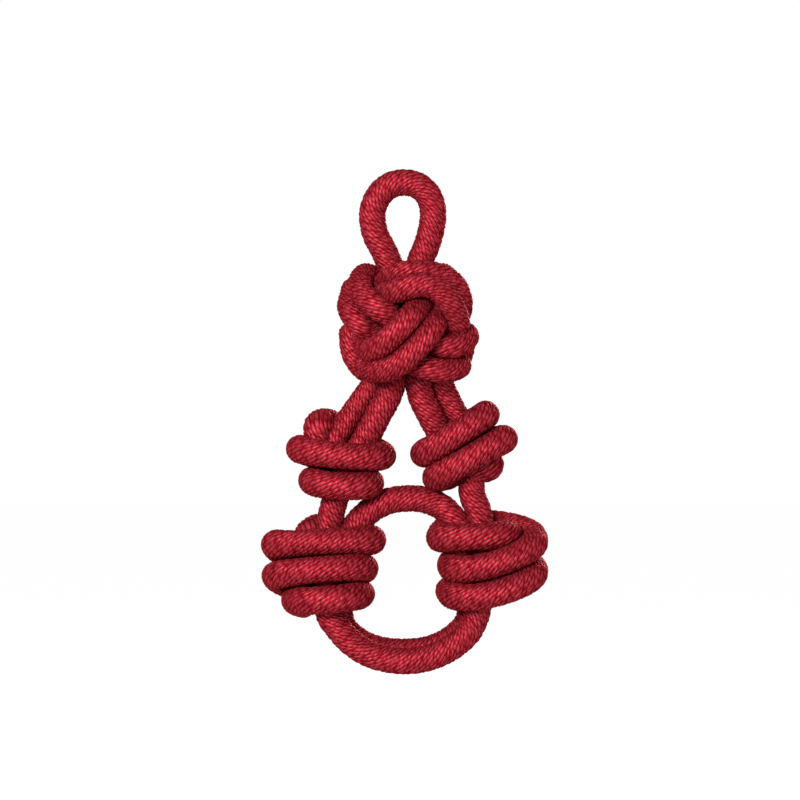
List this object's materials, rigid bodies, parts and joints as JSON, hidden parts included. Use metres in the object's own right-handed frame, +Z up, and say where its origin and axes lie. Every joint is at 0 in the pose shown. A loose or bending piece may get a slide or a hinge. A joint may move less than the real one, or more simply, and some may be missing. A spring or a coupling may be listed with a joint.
{
  "type": "knotted cord charm",
  "caption": "Hanging charm tied from twisted satin cord: a loop, a woven ball knot, wound strands and a wound ring below, made to hang from a bag, key ring or hook.",
  "frame": {"origin": "the inside crown of the hanging loop, where a hook or ring carries the charm", "axes": "+Z up along the hanging charm, +X to the right seen from the front, the front faces -Y"},
  "size_m": [0.0542, 0.0286, 0.0949],
  "materials": {
    "satin_cord": "satin twisted cord"
  },
  "bodies": {
    "loop": {"hanging_loop": "satin_cord"},
    "knot": {"knot_crown_outer_front": "satin_cord", "knot_crown_outer_rear": "satin_cord", "knot_crown_inner_front": "satin_cord", "knot_crown_inner_rear": "satin_cord", "knot_fall_upper_front": "satin_cord", "knot_fall_upper_rear": "satin_cord", "knot_fall_lower_front": "satin_cord", "knot_fall_lower_rear": "satin_cord", "knot_rise_upper_front": "satin_cord", "knot_rise_upper_rear": "satin_cord", "knot_rise_lower_front": "satin_cord", "knot_rise_lower_rear": "satin_cord", "knot_core_front": "satin_cord", "knot_core_rear": "satin_cord"},
    "skirt": {"leg_left_outer": "satin_cord", "leg_left_inner_and_neck": "satin_cord", "leg_right_inner": "satin_cord", "leg_right_outer_and_neck": "satin_cord", "small_winding_left": "satin_cord", "small_winding_right": "satin_cord"},
    "ring": {"large_winding_left": "satin_cord", "large_winding_right": "satin_cord", "ring_upper_arc": "satin_cord", "lower_arc_front": "satin_cord", "ring_lower_arc_rear": "satin_cord"}
  },
  "joints": [
    {"name": "loop_bend", "type": "hinge", "parent": "loop", "child": "knot", "pos_m": [0, 0, -0.01185], "axis": [1, 0, 0], "range_deg": [-60, 60]},
    {"name": "leg_bend", "type": "hinge", "parent": "knot", "child": "skirt", "pos_m": [0, 0, -0.0355], "axis": [1, 0, 0], "range_deg": [-45, 30]},
    {"name": "neck_bend", "type": "hinge", "parent": "skirt", "child": "ring", "pos_m": [0, 0, -0.0612], "axis": [1, 0, 0], "range_deg": [-45, 20]}
  ]
}
